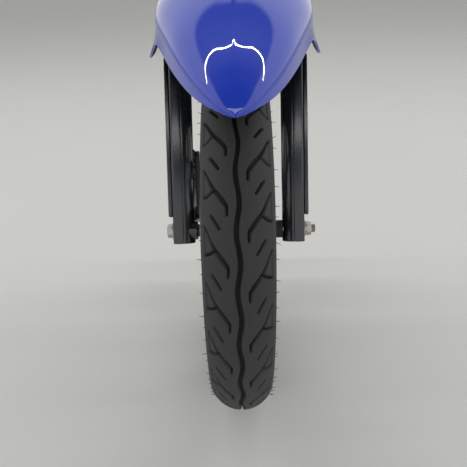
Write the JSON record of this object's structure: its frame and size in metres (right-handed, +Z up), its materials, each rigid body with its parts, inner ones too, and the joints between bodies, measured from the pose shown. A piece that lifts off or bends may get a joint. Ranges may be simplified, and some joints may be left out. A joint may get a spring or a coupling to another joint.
{
  "type": "motor scooter front fork assembly",
  "caption": "Telescopic front fork of a motor scooter with its cast wheel, road tyre, disc brake and painted mudguard, carried by its steering stem.",
  "frame": {"origin": "on the steering axis, at the top of the crown race, where the head bearing of the frame runs", "axes": "+Z up with the scooter upright, the front faces -Y, +X is the rider's left, along the wheel's axle"},
  "size_m": [0.2146, 0.5582, 0.7709],
  "materials": {
    "tyre": "matte tread rubber",
    "black_cast": "satin black",
    "black_plastic": "moulded grain",
    "blue_paint": "gloss deep blue",
    "bright_steel": "ground",
    "zinc_steel": "zinc plated",
    "chrome_tube": "hard chrome",
    "black_steel": "black paint",
    "rubber": "moulded rubber",
    "pad_lining": "sintered lining",
    "caliper_alloy": "cast, anodised"
  },
  "bodies": {
    "fork": {"steering_stem": "black_steel", "crown_race": "bright_steel", "bottom_yoke": "black_steel", "yoke_bolts": "zinc_steel", "fork_tube_left": "chrome_tube", "fork_tube_right": "chrome_tube", "fork_caps": "zinc_steel", "dust_seal_left": "rubber", "dust_seal_right": "rubber", "lower_leg_left": "black_cast", "lower_leg_right": "black_cast", "fork_guard_left": "black_plastic", "fork_guard_right": "black_plastic", "axle_bolt": "zinc_steel", "axle_nut": "zinc_steel", "axle_washers": "zinc_steel", "wheel_collar": "black_steel", "speedometer_drive": "black_plastic", "caliper": "caliper_alloy", "caliper_bracket": "black_steel", "brake_pads": "pad_lining", "caliper_bolts": "zinc_steel", "mudguard": "blue_paint", "inner_mudguard": "black_plastic", "mudguard_bracket": "black_steel", "mudguard_bolts": "zinc_steel"},
    "wheel": {"tyre": "tyre", "wheel_hub": "black_cast", "wheel_spokes": "black_cast", "wheel_rim": "black_cast", "valve_stem": "rubber", "wheel_bearings": "bright_steel", "hub_seals": "rubber", "brake_disc": "bright_steel", "disc_bolts": "black_steel"}
  },
  "joints": [
    {"name": "wheel_spin", "type": "hinge", "parent": "fork", "child": "wheel", "pos_m": [0, -0.21113, -0.35622], "axis": [1, 0, 0], "continuous": true}
  ]
}
